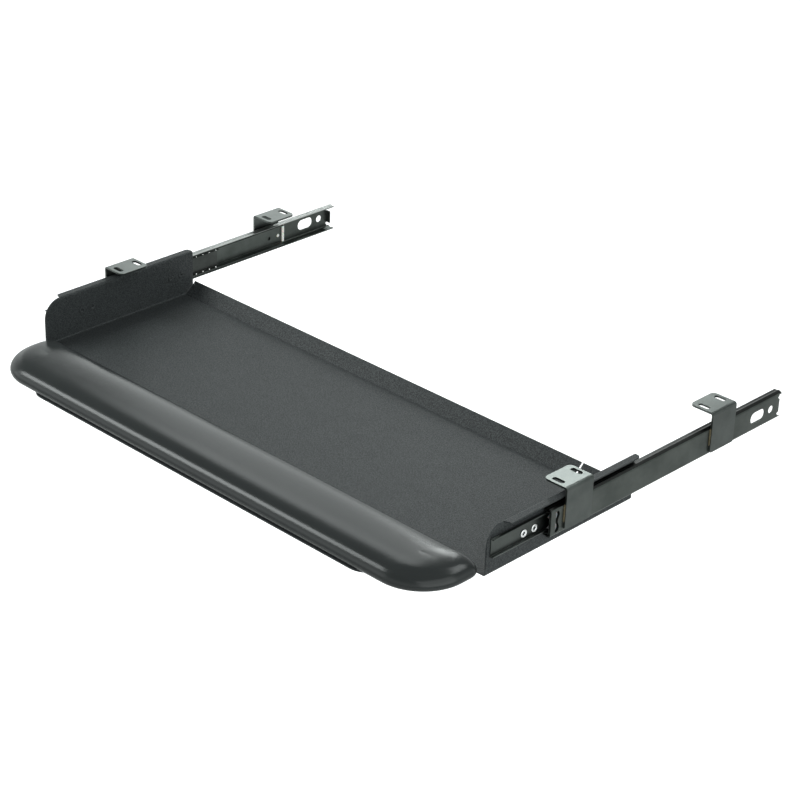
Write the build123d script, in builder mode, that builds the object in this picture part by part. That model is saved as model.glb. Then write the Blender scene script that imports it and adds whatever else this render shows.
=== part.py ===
"""Under-desk keyboard tray on ball-bearing slides.

A folded sheet-steel tray carries a padded palm rest in front of its floor.  A three-member
slide on each side wall hangs from two angle brackets that are screwed under the desk top.

Millimetres, +X to the user's right, +Y away from the user, +Z up.  The origin is the centre
of the desk screw pattern, on the mounting plane.  The tray stands partly pulled out.
"""

import os
from math import asin, atan2, cos, hypot, tan

from build123d import *

os.makedirs("parts", exist_ok=True)

# Where the tray hangs
bracket_spacing = 209.0
tray_drop = 58.5
slide_drop = 30.4
front_setback = 107.0
overrun = 2.0

# Folded tray
tray_width = 610.8
wall_length = 198.0
wall_height = 48.5
pan_sheet = 1.5
pan_bend = 1.5
flange_reach = 7.0
flange_bend = 1.0
flange_slant = 2.5
wall_corner_radius = 20.0
wall_tail_radius = 3.0
flange_corner_radius = 4.0
floor_depth = 187.0
lip_rise = 13.5
lip_reach = 13.0
lip_bend = 1.5
lip_gap = 0.4
lip_slit_width = 2.5
lip_slit_x = 245.0
tongue_width = 476.0
tongue_reach = 76.0
tongue_radius = 22.0

# Palm rest: a core board, upholstered with foam under a smooth cover
pad_width = 600.0
pad_depth = 75.0
pad_gap = 2.0
pad_offset = 3.5
pad_height = 19.0
pad_front_radius = 50.0
pad_rear_radius = 11.0
board_inset = 12.0
board_thickness = 9.0
board_radius = 24.0
board_clearance = 0.2

# Sides of a screw, a rivet and their holes, few because they repeat
fastener_sides = 12

# Screws that hold the palm rest to the tongue, driven from below
screw_radius = 1.9
screw_length = 8.5
screw_head_radius = 3.8
screw_head_height = 2.0
screw_count = 4
screw_margin = 28.0
screw_clearance = 0.2
screw_edge = 30.0

# Slide members, measured inward from the outer face of the outer member
slide_depth = 10.0
slide_height = 28.6
outer_sheet = 1.0
middle_sheet = 0.8
inner_sheet = 0.9
outer_length = 339.5
outer_setback = 35.0
web_recess = 3.5
middle_length = 264.0
inner_setback = 4.0
inner_length = 194.0
outer_row_depth = 3.9
inner_row_depth = 7.5
row_step = 2.0
middle_web_depth = 2.1
outer_tip_depth = 9.0
middle_tip_depth = 8.8
inner_tip_depth = 5.9
lip_clearance = 0.5
outer_bend = 1.5
middle_bend = 0.65
inner_bend = 0.7
lip_ease = 1.0

# Balls and the sheet retainers that space them
ball_radius = 1.1
race_gap = 0.1
ball_pitch = 9.3
ball_sides = 8
ball_height = 0.95
ball_taper = 28.0
outer_balls_in_group = 2
inner_balls_in_group = 4
retainer_end = 4.0
outer_retainer_sheet = 0.3
inner_retainer_sheet = 0.5
outer_retainer_length = 144.0
inner_retainer_length = 110.0
outer_retainer_start = 42.0
inner_retainer_start = 56.0
outer_retainer_web = 1.35
inner_retainer_web = 5.2
retainer_wing = 1.65
retainer_bend = 0.45

# Holes in the outer member's web
access_slot_length = 22.0
access_slot_width = 12.0
access_slot_setback = 37.5
tail_hole_radius = 4.0
tail_hole_setback = 16.0
stop_tab_height = 14.0
stop_tab_reach = 6.0
stop_notch = 3.0
window_y = 6.0
window_depth = 5.0
window_height = 21.0
window_waist = 1.8

# Nylon bumpers in the ends of the middle member
bumper_length = 11.5
bumper_thickness = 2.1
bumper_height = 19.6
nose_length = 3.5
nose_height = 5.0
nose_spacing = 10.5
key_clearance = 0.25
key_gap = 1.5
key_inset = 1.0
rear_bumper_length = 2.8
rear_bumper_height = 20.0
rear_bumper_depth = 2.5
tongue_length = 9.0
tongue_height = 12.0
tongue_thickness = 0.5
boss_radius = 1.8
boss_setback = 4.6
boss_recess = 0.2
bumper_hole_radius = 0.8
rear_corner_radius = 3.0
rear_hole_radius = 2.0
rear_hole_setback = 18.3
rear_hole_drop = 2.0

# Hollow rivets that hold the slide to the tray wall
rivet_radius = 2.4
rivet_bore = 1.5
rivet_flange_radius = 4.0
rivet_flange_height = 0.7
rivet_tail_radius = 3.4
rivet_tail_height = 0.6
rivet_clearance = 0.1
rivet_drop = 2.6
rivet_front = 46.5
rivet_rear = 167.0
rivet_spacing = 14.0

# Angle brackets
bracket_sheet = 2.0
bracket_width = 36.0
bracket_reach = 28.0
bracket_leg = 42.0
bracket_bend = 1.0
bracket_corner = 5.0
leg_corner = 2.5
slot_length = 13.0
slot_width = 5.5
slot_pitch = 24.5
slot_setback = 15.4
weld_radius = 1.5
weld_length = 18.0
weld_drop = 16.5

# Shares of the palm rest's height and depth, from its base to its crown:
# height, front inset, rear inset, end inset
pad_profile_shares = (
    (0.00, 0.070, 0.040, 0.070),
    (0.07, 0.026, 0.014, 0.026),
    (0.28, 0.000, 0.000, 0.000),
    (0.46, 0.024, 0.008, 0.028),
    (0.62, 0.062, 0.026, 0.084),
    (0.76, 0.124, 0.062, 0.180),
    (0.88, 0.214, 0.122, 0.310),
    (0.96, 0.335, 0.212, 0.470),
    (1.00, 0.490, 0.330, 0.660),
)

# Places worked out from the sizes above
tray_front = -bracket_spacing / 2 - front_setback
tray_base = -tray_drop
wall_face = tray_width / 2
slide_face = wall_face + slide_depth
outer_front = -bracket_spacing / 2 - outer_setback
inner_front = tray_front + inner_setback
rivet_ys = (
    rivet_front,
    rivet_front + rivet_spacing,
    rivet_rear,
    rivet_rear + rivet_spacing,
)
floor_top = tray_base + pan_sheet
screw_pitch = (tongue_width - 2 * screw_margin) / (screw_count - 1)

# The races: every groove is an arc about the ball row, with straight sides at one slope
race_radius = ball_radius + race_gap
outer_row_height = slide_height / 2 - outer_sheet - race_radius
inner_row_height = outer_row_height - row_step
row_gap = inner_row_depth - outer_row_depth
middle_race = race_radius + middle_sheet / 2
outer_race = race_radius + outer_sheet / 2
inner_race = race_radius + inner_sheet / 2
row_distance = hypot(row_gap, row_step)
race_slope = asin(2 * middle_race / row_distance) - atan2(row_step, row_gap)


def slide_plane(y):
    """Section plane of the right-hand slide: depth from its outer face, and height."""
    return Plane(origin=(slide_face, y, -slide_drop), x_dir=(-1, 0, 0), z_dir=(0, 1, 0))


def web_plane(depth):
    """Plane on the right-hand slide's webs, at a depth from its outer face, facing out."""
    return Plane(origin=(slide_face - depth, 0, -slide_drop), x_dir=(0, 1, 0), z_dir=(1, 0, 0))


def channel(y, length, half_path, bends, sheet):
    """A rolled channel along the slide, from the upper half of its section's middle line."""
    lower = [(u, -v) for u, v in reversed(half_path)]
    radii = list(reversed(bends)) + list(bends)
    with BuildPart() as rolled:
        with BuildSketch(slide_plane(y)):
            with BuildLine():
                FilletPolyline(*lower, *half_path, radius=radii)
            trace(line_width=sheet)
        extrude(amount=length)
    return rolled.part


def waisted_window(front_shift, rear_shift, growth):
    """Outline of the window in the front web: a straight front edge, a rear edge in two lobes."""
    window_front = outer_front + window_y + front_shift
    window_rear = outer_front + window_y + window_depth + rear_shift
    half_height = window_height / 2 + growth
    waist = window_rear - window_waist
    with BuildSketch() as outline:
        with BuildLine():
            Polyline(
                (waist, -half_height),
                (window_front, -half_height),
                (window_front, half_height),
                (waist, half_height),
            )
            Spline(
                (waist, half_height),
                (window_rear, half_height / 2),
                (waist, 0),
                (window_rear, -half_height / 2),
                (waist, -half_height),
            )
        make_face()
    return outline.sketch


def save_pair(piece, name):
    """Write the right-hand piece and its mirror image."""
    with BuildPart() as twin:
        mirror(piece, about=Plane.YZ)
    piece.label = f"{name}_right"
    twin.part.label = f"{name}_left"
    export_step(piece, f"parts/{name}_right.step")
    export_step(twin.part, f"parts/{name}_left.step")


# Tray pan: walls and floor folded from one sheet, with out-turned flanges
pan_fold = pan_bend + pan_sheet / 2
flange_fold = flange_bend + pan_sheet / 2
wall_line = wall_face - pan_sheet / 2
flange_edge = wall_face + flange_reach
flange_line = tray_base + wall_height - pan_sheet / 2
floor_line = tray_base + pan_sheet / 2
floor_rear = tray_front + floor_depth
wall_rear = tray_front + wall_length
lip_half = wall_face - pan_sheet - pan_bend - lip_gap
with BuildPart() as tray_pan:
    with BuildSketch(Plane.XZ.offset(-tray_front)):
        with BuildLine():
            FilletPolyline(
                (-flange_edge, flange_line),
                (-wall_line, flange_line),
                (-wall_line, floor_line),
                (wall_line, floor_line),
                (wall_line, flange_line),
                (flange_edge, flange_line),
                radius=(flange_fold, pan_fold, pan_fold, flange_fold),
            )
        trace(line_width=pan_sheet)
    extrude(amount=-wall_length)
    # Rounded front corners and rounded tails, seen from the side
    with BuildSketch(Plane.YZ):
        with Locations((tray_front + wall_corner_radius / 2, tray_base + wall_height)):
            Rectangle(wall_corner_radius, 2 * wall_corner_radius)
        with Locations((tray_front + wall_corner_radius, tray_base + wall_height - wall_corner_radius)):
            Circle(wall_corner_radius, mode=Mode.SUBTRACT)
        with Locations((wall_rear - wall_tail_radius / 2, tray_base + wall_tail_radius / 2)):
            Rectangle(wall_tail_radius, wall_tail_radius)
        with Locations((wall_rear - wall_tail_radius, tray_base + wall_tail_radius)):
            Circle(wall_tail_radius, mode=Mode.SUBTRACT)
    extrude(amount=flange_edge + overrun, both=True, mode=Mode.SUBTRACT)
    # Slanted front ends of the flanges and their rounded rear corners
    with BuildSketch(Plane.XY.offset(tray_base + wall_height + overrun)):
        for side in (-1, 1):
            with BuildLine():
                Polyline(
                    (side * wall_face, tray_front + wall_corner_radius),
                    (side * flange_edge, tray_front + wall_corner_radius + flange_slant),
                    (side * (flange_edge + overrun), tray_front + wall_corner_radius + flange_slant),
                    (side * (flange_edge + overrun), tray_front),
                    (side * wall_face, tray_front),
                    close=True,
                )
            make_face()
    extrude(amount=-wall_corner_radius, mode=Mode.SUBTRACT)
    tails = tray_pan.edges().filter_by(Axis.Z).filter_by_position(
        Axis.Y, wall_rear - pan_sheet, wall_rear + pan_sheet
    )
    fillet([e for e in tails if abs(e.center().X) > wall_face + pan_sheet], flange_corner_radius)
    # The floor stops at the fold of the rear lip, clear of the bends up to the walls
    with BuildSketch(Plane.XY.offset(tray_base - overrun)):
        with Locations((0, floor_rear + wall_length / 2)):
            Rectangle(2 * lip_half, wall_length)
    extrude(amount=pan_sheet + 2 * overrun, mode=Mode.SUBTRACT)
    # Rear lip, leaning back
    with BuildSketch(Plane.YZ.offset(-lip_half)):
        with BuildLine():
            FilletPolyline(
                (floor_rear - lip_reach, floor_line),
                (floor_rear, floor_line),
                (floor_rear + lip_reach, tray_base + lip_rise),
                radius=lip_bend + pan_sheet / 2,
            )
        trace(line_width=pan_sheet)
    extrude(amount=2 * lip_half)
    with BuildSketch(Plane.XY.offset(tray_base + pan_sheet + lip_bend)):
        with Locations((lip_slit_x, floor_rear + lip_reach / 2)):
            Rectangle(lip_slit_width, 2 * lip_reach)
    extrude(amount=2 * lip_rise, mode=Mode.SUBTRACT)
    # Tongue under the palm rest
    with BuildSketch(Plane.XY.offset(tray_base)) as tongue:
        with Locations((0, tray_front - tongue_reach / 2 + pan_sheet)):
            Rectangle(tongue_width, tongue_reach + 2 * pan_sheet)
        fillet(tongue.vertices().group_by(Axis.Y)[0], tongue_radius)
    extrude(amount=pan_sheet)
    # Rivet holes in the walls and screw holes in the tongue
    with BuildSketch(Plane.YZ):
        with Locations(*[(tray_front + y, -slide_drop - rivet_drop) for y in rivet_ys]):
            RegularPolygon(rivet_radius + rivet_clearance, fastener_sides)
    extrude(amount=wall_face + overrun, both=True, mode=Mode.SUBTRACT)
    with BuildSketch(Plane.XY.offset(tray_base - overrun)):
        with Locations((0, tray_front - tongue_reach + screw_edge)):
            with GridLocations(screw_pitch, 0, screw_count, 1):
                RegularPolygon(screw_radius + screw_clearance, fastener_sides)
    extrude(amount=pan_sheet + 2 * overrun, mode=Mode.SUBTRACT)
tray_pan.part.label = "tray_pan"
export_step(tray_pan.part, "parts/tray_pan.step")


# Palm rest: the padded cover swells round a core board that lies on the tongue
pad_rear = tray_front - pad_gap
pad_front = pad_rear - pad_depth
board_depth = pad_depth - 2 * board_inset
board_width = pad_width - 2 * board_inset
board_centre = (pad_front + pad_rear) / 2
with BuildPart() as palm_rest_pad:
    for height, front, rear, end in pad_profile_shares:
        level_front = pad_front + front * pad_depth
        level_rear = pad_rear - rear * pad_depth
        level_width = pad_width - 2 * end * pad_depth
        level_depth = level_rear - level_front
        rear_radius = min(pad_rear_radius * (1 - rear), level_depth / 4)
        front_radius = min(pad_front_radius * (1 - front), level_depth - 2 * rear_radius)
        with BuildSketch(Plane.XY.offset(floor_top + height * pad_height)) as level:
            with Locations((pad_offset, (level_front + level_rear) / 2)):
                Rectangle(level_width, level_depth)
            fillet(level.vertices().group_by(Axis.Y)[0], front_radius)
            fillet(level.vertices().group_by(Axis.Y)[-1], rear_radius)
    loft(ruled=True)
    with BuildSketch(Plane.XY.offset(floor_top)):
        with Locations((pad_offset, board_centre)):
            RectangleRounded(
                board_width + 2 * board_clearance,
                board_depth + 2 * board_clearance,
                board_radius + board_clearance,
            )
    extrude(amount=board_thickness + board_clearance, mode=Mode.SUBTRACT)
palm_rest_pad.part.label = "palm_rest_pad"
export_step(palm_rest_pad.part, "parts/palm_rest_pad.step")

with BuildPart() as palm_rest_board:
    with BuildSketch(Plane.XY.offset(floor_top)):
        with Locations((pad_offset, board_centre)):
            RectangleRounded(board_width, board_depth, board_radius)
    extrude(amount=board_thickness)
    with BuildSketch(Plane.XY.offset(floor_top - overrun)):
        with Locations((0, tray_front - tongue_reach + screw_edge)):
            with GridLocations(screw_pitch, 0, screw_count, 1):
                RegularPolygon(screw_radius + screw_clearance, fastener_sides)
    extrude(amount=overrun + screw_length - pan_sheet + screw_clearance, mode=Mode.SUBTRACT)
palm_rest_board.part.label = "palm_rest_board"
export_step(palm_rest_board.part, "parts/palm_rest_board.step")

with BuildPart() as palm_rest_screws:
    with BuildSketch(Plane.XY.offset(tray_base)):
        with Locations((0, tray_front - tongue_reach + screw_edge)):
            with GridLocations(screw_pitch, 0, screw_count, 1):
                RegularPolygon(screw_radius, fastener_sides)
    extrude(amount=screw_length)
    with BuildSketch(Plane.XY.offset(tray_base)):
        with Locations((0, tray_front - tongue_reach + screw_edge)):
            with GridLocations(screw_pitch, 0, screw_count, 1):
                RegularPolygon(screw_head_radius, fastener_sides)
    extrude(amount=-screw_head_height)
palm_rest_screws.part.label = "palm_rest_screws"
export_step(palm_rest_screws.part, "parts/palm_rest_screws.step")


# Outer member: fixed to the brackets, its grooves roof the outer ball rows
outer_peak = outer_row_height + outer_race / cos(race_slope)
outer_lip = inner_row_height + race_radius + middle_sheet + lip_clearance + outer_sheet / 2
outer_web = outer_sheet / 2
outer_path = (
    (outer_web, outer_peak - (outer_row_depth - outer_web) * tan(race_slope)),
    (outer_row_depth, outer_peak),
    (outer_row_depth + (outer_peak - outer_lip) / tan(race_slope), outer_lip),
    (outer_tip_depth, outer_lip),
)
outer_flat = slide_height / 2 - outer_bend - outer_sheet
outer_window = waisted_window(0, 0, 0)
with BuildPart() as slide_outer:
    add(channel(outer_front, outer_length, outer_path, (outer_bend, outer_race, lip_ease), outer_sheet))
    outer_rear = outer_front + outer_length
    # The web stops short of the flanges at the rear, and a tab is bent in from its end
    with BuildSketch(web_plane(-overrun)):
        with Locations((outer_rear - web_recess / 2 + overrun / 2, 0)):
            Rectangle(web_recess + overrun, 2 * outer_flat)
        for side in (-1, 1):
            with Locations((outer_rear - web_recess, side * (stop_tab_height + stop_notch) / 2)):
                Circle(stop_notch / 2)
    extrude(amount=-outer_sheet - 2 * overrun, mode=Mode.SUBTRACT)
    with BuildSketch(web_plane(0)):
        with Locations((outer_rear - web_recess + outer_sheet / 2 - overrun / 2, 0)):
            Rectangle(outer_sheet + overrun, stop_tab_height)
    extrude(amount=-outer_sheet)
    with BuildSketch(web_plane(0)):
        with Locations((outer_rear - web_recess + outer_sheet / 2, 0)):
            Rectangle(outer_sheet, stop_tab_height)
    extrude(amount=-stop_tab_reach)
    # Access slot, round hole, and the waisted window at the front end
    with BuildSketch(web_plane(-overrun)):
        with Locations((outer_rear - access_slot_setback, 0)):
            SlotOverall(access_slot_length, access_slot_width)
        with Locations((outer_rear - tail_hole_setback, 0)):
            Circle(tail_hole_radius)
        add(outer_window)
    extrude(amount=-outer_sheet - 2 * overrun, mode=Mode.SUBTRACT)
save_pair(slide_outer.part, "slide_outer")


# Middle member: its flanges run in an S between the outer and the inner ball rows
middle_dip = outer_row_height - middle_race / cos(race_slope)
middle_bump = inner_row_height + middle_race / cos(race_slope)
middle_path = (
    (middle_web_depth, middle_dip + (outer_row_depth - middle_web_depth) * tan(race_slope)),
    (outer_row_depth, middle_dip),
    (inner_row_depth, middle_bump),
    (middle_tip_depth, middle_bump - (middle_tip_depth - inner_row_depth) * tan(race_slope)),
)
middle_front = outer_front
middle_rear = middle_front + middle_length
middle_outside = middle_web_depth - middle_sheet / 2
middle_inside = middle_web_depth + middle_sheet / 2
middle_hole_y = middle_rear - rear_hole_setback
boss_y = middle_rear - boss_setback
middle_slot = waisted_window(-key_clearance, key_clearance - key_gap, key_clearance - key_inset)
with BuildPart() as slide_middle:
    add(channel(middle_front, middle_length, middle_path, (middle_bend, middle_race, middle_race), middle_sheet))
    # Rounded corners at the rear end, a hole, the seat of the bumper's boss, and the key slot
    with BuildSketch(web_plane(-overrun)):
        corner = slide_height / 2 - rear_corner_radius - outer_sheet - race_radius
        for side in (-1, 1):
            with Locations((middle_rear, side * (corner + rear_corner_radius))):
                Rectangle(2 * rear_corner_radius, 2 * rear_corner_radius)
            with Locations((middle_rear - rear_corner_radius, side * corner)):
                Circle(rear_corner_radius, mode=Mode.SUBTRACT)
    extrude(amount=-slide_depth - 2 * overrun, mode=Mode.SUBTRACT)
    with BuildSketch(web_plane(middle_outside - overrun)):
        with Locations((middle_hole_y, -rear_hole_drop)):
            Circle(rear_hole_radius)
        with Locations((boss_y, -rear_hole_drop)):
            Circle(boss_radius + key_clearance)
        add(middle_slot)
    extrude(amount=-middle_sheet - 2 * overrun, mode=Mode.SUBTRACT)
save_pair(slide_middle.part, "slide_middle")

# Front bumper: a nylon block in the channel's mouth, keyed through the web, with two noses
bumper_key = waisted_window(0, -key_gap, -key_inset)
with BuildPart() as front_bumper:
    with BuildSketch(web_plane(middle_inside)):
        with Locations((middle_front + (nose_length + bumper_length) / 2, 0)):
            Rectangle(bumper_length - nose_length, bumper_height)
        for side in (-1, 1):
            with BuildLine():
                nose_middle = side * nose_spacing / 2
                Polyline(
                    (middle_front + nose_length, nose_middle - nose_height / 2),
                    (middle_front, nose_middle),
                    (middle_front + nose_length, nose_middle + nose_height / 2),
                    close=True,
                )
            make_face()
    extrude(amount=-bumper_thickness)
    with BuildSketch(web_plane(middle_inside)):
        add(bumper_key)
    extrude(amount=middle_sheet)
save_pair(front_bumper.part, "front_bumper")

# Rear bumper: a nylon bar across the channel's end, on a tongue that snaps into the web
with BuildPart() as rear_bumper:
    with BuildSketch(web_plane(middle_outside)):
        with Locations((middle_rear - tongue_length / 2, 0)):
            Rectangle(tongue_length, tongue_height)
        with Locations((middle_rear + rear_bumper_length / 2, 0)):
            Rectangle(rear_bumper_length, rear_bumper_height)
    extrude(amount=tongue_thickness)
    with BuildSketch(web_plane(middle_outside)):
        with Locations((middle_rear + rear_bumper_length / 2, 0)):
            Rectangle(rear_bumper_length, rear_bumper_height)
    extrude(amount=-rear_bumper_depth)
    with BuildSketch(web_plane(middle_outside)):
        with Locations((boss_y, -rear_hole_drop)):
            Circle(boss_radius)
    extrude(amount=-middle_sheet + boss_recess)
    with BuildSketch(web_plane(-overrun)):
        with Locations((middle_rear + rear_bumper_length / 2, 0)):
            Circle(bumper_hole_radius)
    extrude(amount=-slide_depth, mode=Mode.SUBTRACT)
save_pair(rear_bumper.part, "rear_bumper")


# Inner member: riveted to the tray wall, its flanges turn outward round the inner ball rows
inner_web = slide_depth - inner_sheet / 2
inner_dip = inner_row_height - inner_race / cos(race_slope)
inner_path = (
    (inner_web, inner_dip + (inner_web - inner_row_depth) * tan(race_slope)),
    (inner_row_depth, inner_dip),
    (inner_tip_depth, inner_dip + (inner_row_depth - inner_tip_depth) * tan(race_slope)),
)
rivet_places = [(tray_front + y, -rivet_drop) for y in rivet_ys]
with BuildPart() as slide_inner:
    add(channel(inner_front, inner_length, inner_path, (inner_bend, inner_race), inner_sheet))
    with BuildSketch(web_plane(slide_depth - inner_sheet - overrun)):
        with Locations(*rivet_places):
            RegularPolygon(rivet_radius + rivet_clearance, fastener_sides)
    extrude(amount=-inner_sheet - 2 * overrun, mode=Mode.SUBTRACT)
save_pair(slide_inner.part, "slide_inner")

# Hollow rivets: a broad flange on the slide, a smaller rolled tail inside the tray wall
with BuildPart() as slide_rivets:
    with BuildSketch(web_plane(slide_depth - inner_sheet)):
        with Locations(*rivet_places):
            RegularPolygon(rivet_flange_radius, fastener_sides)
    extrude(amount=rivet_flange_height)
    with BuildSketch(web_plane(slide_depth - inner_sheet)):
        with Locations(*rivet_places):
            RegularPolygon(rivet_radius, fastener_sides)
    extrude(amount=-inner_sheet - pan_sheet)
    with BuildSketch(web_plane(slide_depth + pan_sheet)):
        with Locations(*rivet_places):
            RegularPolygon(rivet_tail_radius, fastener_sides)
    extrude(amount=-rivet_tail_height)
    with BuildSketch(web_plane(0)):
        with Locations(*rivet_places):
            RegularPolygon(rivet_bore, fastener_sides)
    extrude(amount=-slide_depth - pan_sheet - rivet_tail_height - overrun, mode=Mode.SUBTRACT)
save_pair(slide_rivets.part, "slide_rivets")


def retainer(start, length, web, row_depth, row_height, sheet, ball_ys):
    """A ball retainer: a light channel with a faceted hole for each ball in its wings."""
    half_path = ((web, row_height), (row_depth + retainer_wing, row_height))
    with BuildPart() as cage:
        add(channel(start, length, half_path, (retainer_bend,), sheet))
        with BuildSketch(Plane.XY.offset(-slide_drop - slide_height)):
            with Locations(*[(slide_face - row_depth, y) for y in ball_ys]):
                RegularPolygon(race_radius, ball_sides)
        extrude(amount=2 * slide_height, mode=Mode.SUBTRACT)
    return cage.part


def ball_rows(row_depth, row_height, ball_ys):
    """The upper and the lower row of balls, each a ball of flat facets, because it repeats."""
    with BuildPart() as rows:
        for side in (-1, 1):
            with BuildSketch(Plane.XY.offset(-slide_drop + side * row_height)):
                with Locations(*[(slide_face - row_depth, y) for y in ball_ys]):
                    RegularPolygon(ball_radius, ball_sides)
            extrude(amount=ball_height, both=True, taper=ball_taper)
    return rows.part


def ball_places(start, length, in_group):
    """Places along the slide of the balls, a group at each end of their retainer."""
    first = start + retainer_end
    last = start + length - retainer_end
    front_group = [first + n * ball_pitch for n in range(in_group)]
    rear_group = [last - n * ball_pitch for n in reversed(range(in_group))]
    return front_group + rear_group


outer_retainer_front = outer_front + outer_retainer_start
outer_ball_ys = ball_places(outer_retainer_front, outer_retainer_length, outer_balls_in_group)
save_pair(
    retainer(
        outer_retainer_front,
        outer_retainer_length,
        outer_retainer_web,
        outer_row_depth,
        outer_row_height,
        outer_retainer_sheet,
        outer_ball_ys,
    ),
    "retainer_outer",
)
save_pair(ball_rows(outer_row_depth, outer_row_height, outer_ball_ys), "balls_outer")

inner_retainer_front = outer_front + inner_retainer_start
inner_ball_ys = ball_places(inner_retainer_front, inner_retainer_length, inner_balls_in_group)
save_pair(
    retainer(
        inner_retainer_front,
        inner_retainer_length,
        inner_retainer_web,
        inner_row_depth,
        inner_row_height,
        inner_retainer_sheet,
        inner_ball_ys,
    ),
    "retainer_inner",
)
save_pair(ball_rows(inner_row_depth, inner_row_height, inner_ball_ys), "balls_inner")


# Angle brackets: a leg welded to the outer member, a slotted plate turned in at the top
bracket_face = slide_face + bracket_sheet
bracket_line = slide_face + bracket_sheet / 2
slot_x = bracket_face - slot_setback
for place, y in (("front", -bracket_spacing / 2), ("rear", bracket_spacing / 2)):
    with BuildPart() as bracket:
        with BuildSketch(Plane.XZ.offset(-y)):
            with BuildLine():
                FilletPolyline(
                    (bracket_face - bracket_reach, -bracket_sheet / 2),
                    (bracket_line, -bracket_sheet / 2),
                    (bracket_line, -bracket_leg),
                    radius=bracket_bend + bracket_sheet / 2,
                )
            trace(line_width=bracket_sheet)
        extrude(amount=bracket_width / 2, both=True)
        plate_corners = bracket.edges().filter_by(Axis.Z).group_by(Axis.X)[0]
        fillet(plate_corners, bracket_corner)
        leg_corners = bracket.edges().filter_by(Axis.X).group_by(Axis.Z)[0]
        fillet(leg_corners, leg_corner)
        with BuildSketch(Plane.XY.offset(overrun)):
            with Locations((slot_x, y)):
                with GridLocations(0, slot_pitch, 1, 2):
                    SlotOverall(slot_length, slot_width)
        extrude(amount=-bracket_sheet - 2 * overrun, mode=Mode.SUBTRACT)
    save_pair(bracket.part, f"bracket_{place}")

# Weld beads along the front edges of the legs
with BuildPart() as bracket_welds:
    for y in (-bracket_spacing / 2, bracket_spacing / 2):
        leg_front = y - bracket_width / 2
        with BuildSketch(Plane.XY.offset(-weld_drop)):
            with BuildLine():
                Line((slide_face, leg_front), (slide_face + weld_radius, leg_front))
                RadiusArc(
                    (slide_face + weld_radius, leg_front),
                    (slide_face, leg_front - weld_radius),
                    weld_radius,
                )
                Line((slide_face, leg_front - weld_radius), (slide_face, leg_front))
            make_face()
        extrude(amount=-weld_length)
save_pair(bracket_welds.part, "bracket_welds")
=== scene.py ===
# %% [markdown]
# # An under-desk keyboard tray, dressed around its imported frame
#
# The tray is folded from dark powder-coated sheet.  A padded palm rest is screwed to a
# tongue in front of it, and a ball-bearing slide on each side hangs it from two brackets.
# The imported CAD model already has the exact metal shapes, so it stays as the frame, and this
# file adds the soft pad, the small turned and welded parts, the finishes and the light.

import bmesh
import bpy
import numpy as np
from mathutils import Matrix, Vector


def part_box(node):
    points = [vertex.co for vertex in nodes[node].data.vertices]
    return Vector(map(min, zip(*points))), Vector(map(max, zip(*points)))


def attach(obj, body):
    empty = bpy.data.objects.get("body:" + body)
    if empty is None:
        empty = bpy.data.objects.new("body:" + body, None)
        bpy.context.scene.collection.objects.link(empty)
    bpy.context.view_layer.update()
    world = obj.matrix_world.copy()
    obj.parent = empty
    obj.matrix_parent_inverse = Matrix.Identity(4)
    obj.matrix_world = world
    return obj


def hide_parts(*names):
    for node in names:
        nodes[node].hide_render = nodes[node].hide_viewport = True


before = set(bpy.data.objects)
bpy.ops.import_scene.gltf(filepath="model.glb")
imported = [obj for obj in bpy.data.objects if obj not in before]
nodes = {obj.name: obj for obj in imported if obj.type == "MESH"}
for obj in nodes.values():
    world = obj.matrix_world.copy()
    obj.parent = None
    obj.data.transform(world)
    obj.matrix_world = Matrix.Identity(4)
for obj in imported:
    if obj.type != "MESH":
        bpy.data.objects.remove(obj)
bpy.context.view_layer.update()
MM = 0.001

# %% [markdown]
# ## The camera
#
# A product photograph of a long, low object is taken with a long lens from the front corner,
# so that the edges stay nearly parallel.  The camera could be aimed with a tracking
# constraint, but its small roll would be lost, so its axes are written out as a matrix: the
# columns are its right, its up, and the direction behind it.

# %% The camera
camera_place = Vector((1.3837, -1.4663, 0.9631))
camera_right = Vector((0.71468, 0.69872, 0.03212)).normalized()
camera_ahead = Vector((-0.61058, 0.64561, -0.45868)).normalized()
camera_up = camera_right.cross(camera_ahead).normalized()
camera_right = camera_ahead.cross(camera_up)

camera_data = bpy.data.cameras.new("product_camera")
camera_data.sensor_width = 36.0
camera_data.lens = 101.36
camera_data.clip_start = 0.01
camera_data.clip_end = 100.0
camera = bpy.data.objects.new("product_camera", camera_data)
bpy.context.scene.collection.objects.link(camera)
turn = Matrix((camera_right, camera_up, -camera_ahead)).transposed()
camera.matrix_world = Matrix.Translation(camera_place) @ turn.to_4x4()
bpy.context.scene.camera = camera
print("camera", round(camera_place.length, 3), "m from the origin")

# %% [markdown]
# ## Arithmetic for shaders
#
# A finish needs a lot of small sums, such as one minus a mask, or grain times its strength.
# They could be drawn node by node, but written as Python expressions they can be read.
# `Number` wraps a node's output and turns `+`, `-` and `*` into Math nodes, and `Finish`
# holds one material and makes every other node through one method.


# %% Arithmetic for shaders
class Number:
    """One output of a node, on which arithmetic adds Math nodes."""

    def __init__(self, finish, socket):
        self.finish = finish
        self.socket = socket

    def maths(self, operation, first, second):
        """A Math node of that operation on two values."""
        return self.finish.node("ShaderNodeMath", {"operation": operation}, {0: first, 1: second})

    def __add__(self, other):
        return self.maths("ADD", self, other)

    def __sub__(self, other):
        return self.maths("SUBTRACT", self, other)

    def __rsub__(self, other):
        return self.maths("SUBTRACT", other, self)

    def __mul__(self, other):
        return self.maths("MULTIPLY", self, other)

    def __gt__(self, other):
        return self.maths("GREATER_THAN", self, other)

    __radd__ = __add__


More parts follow.
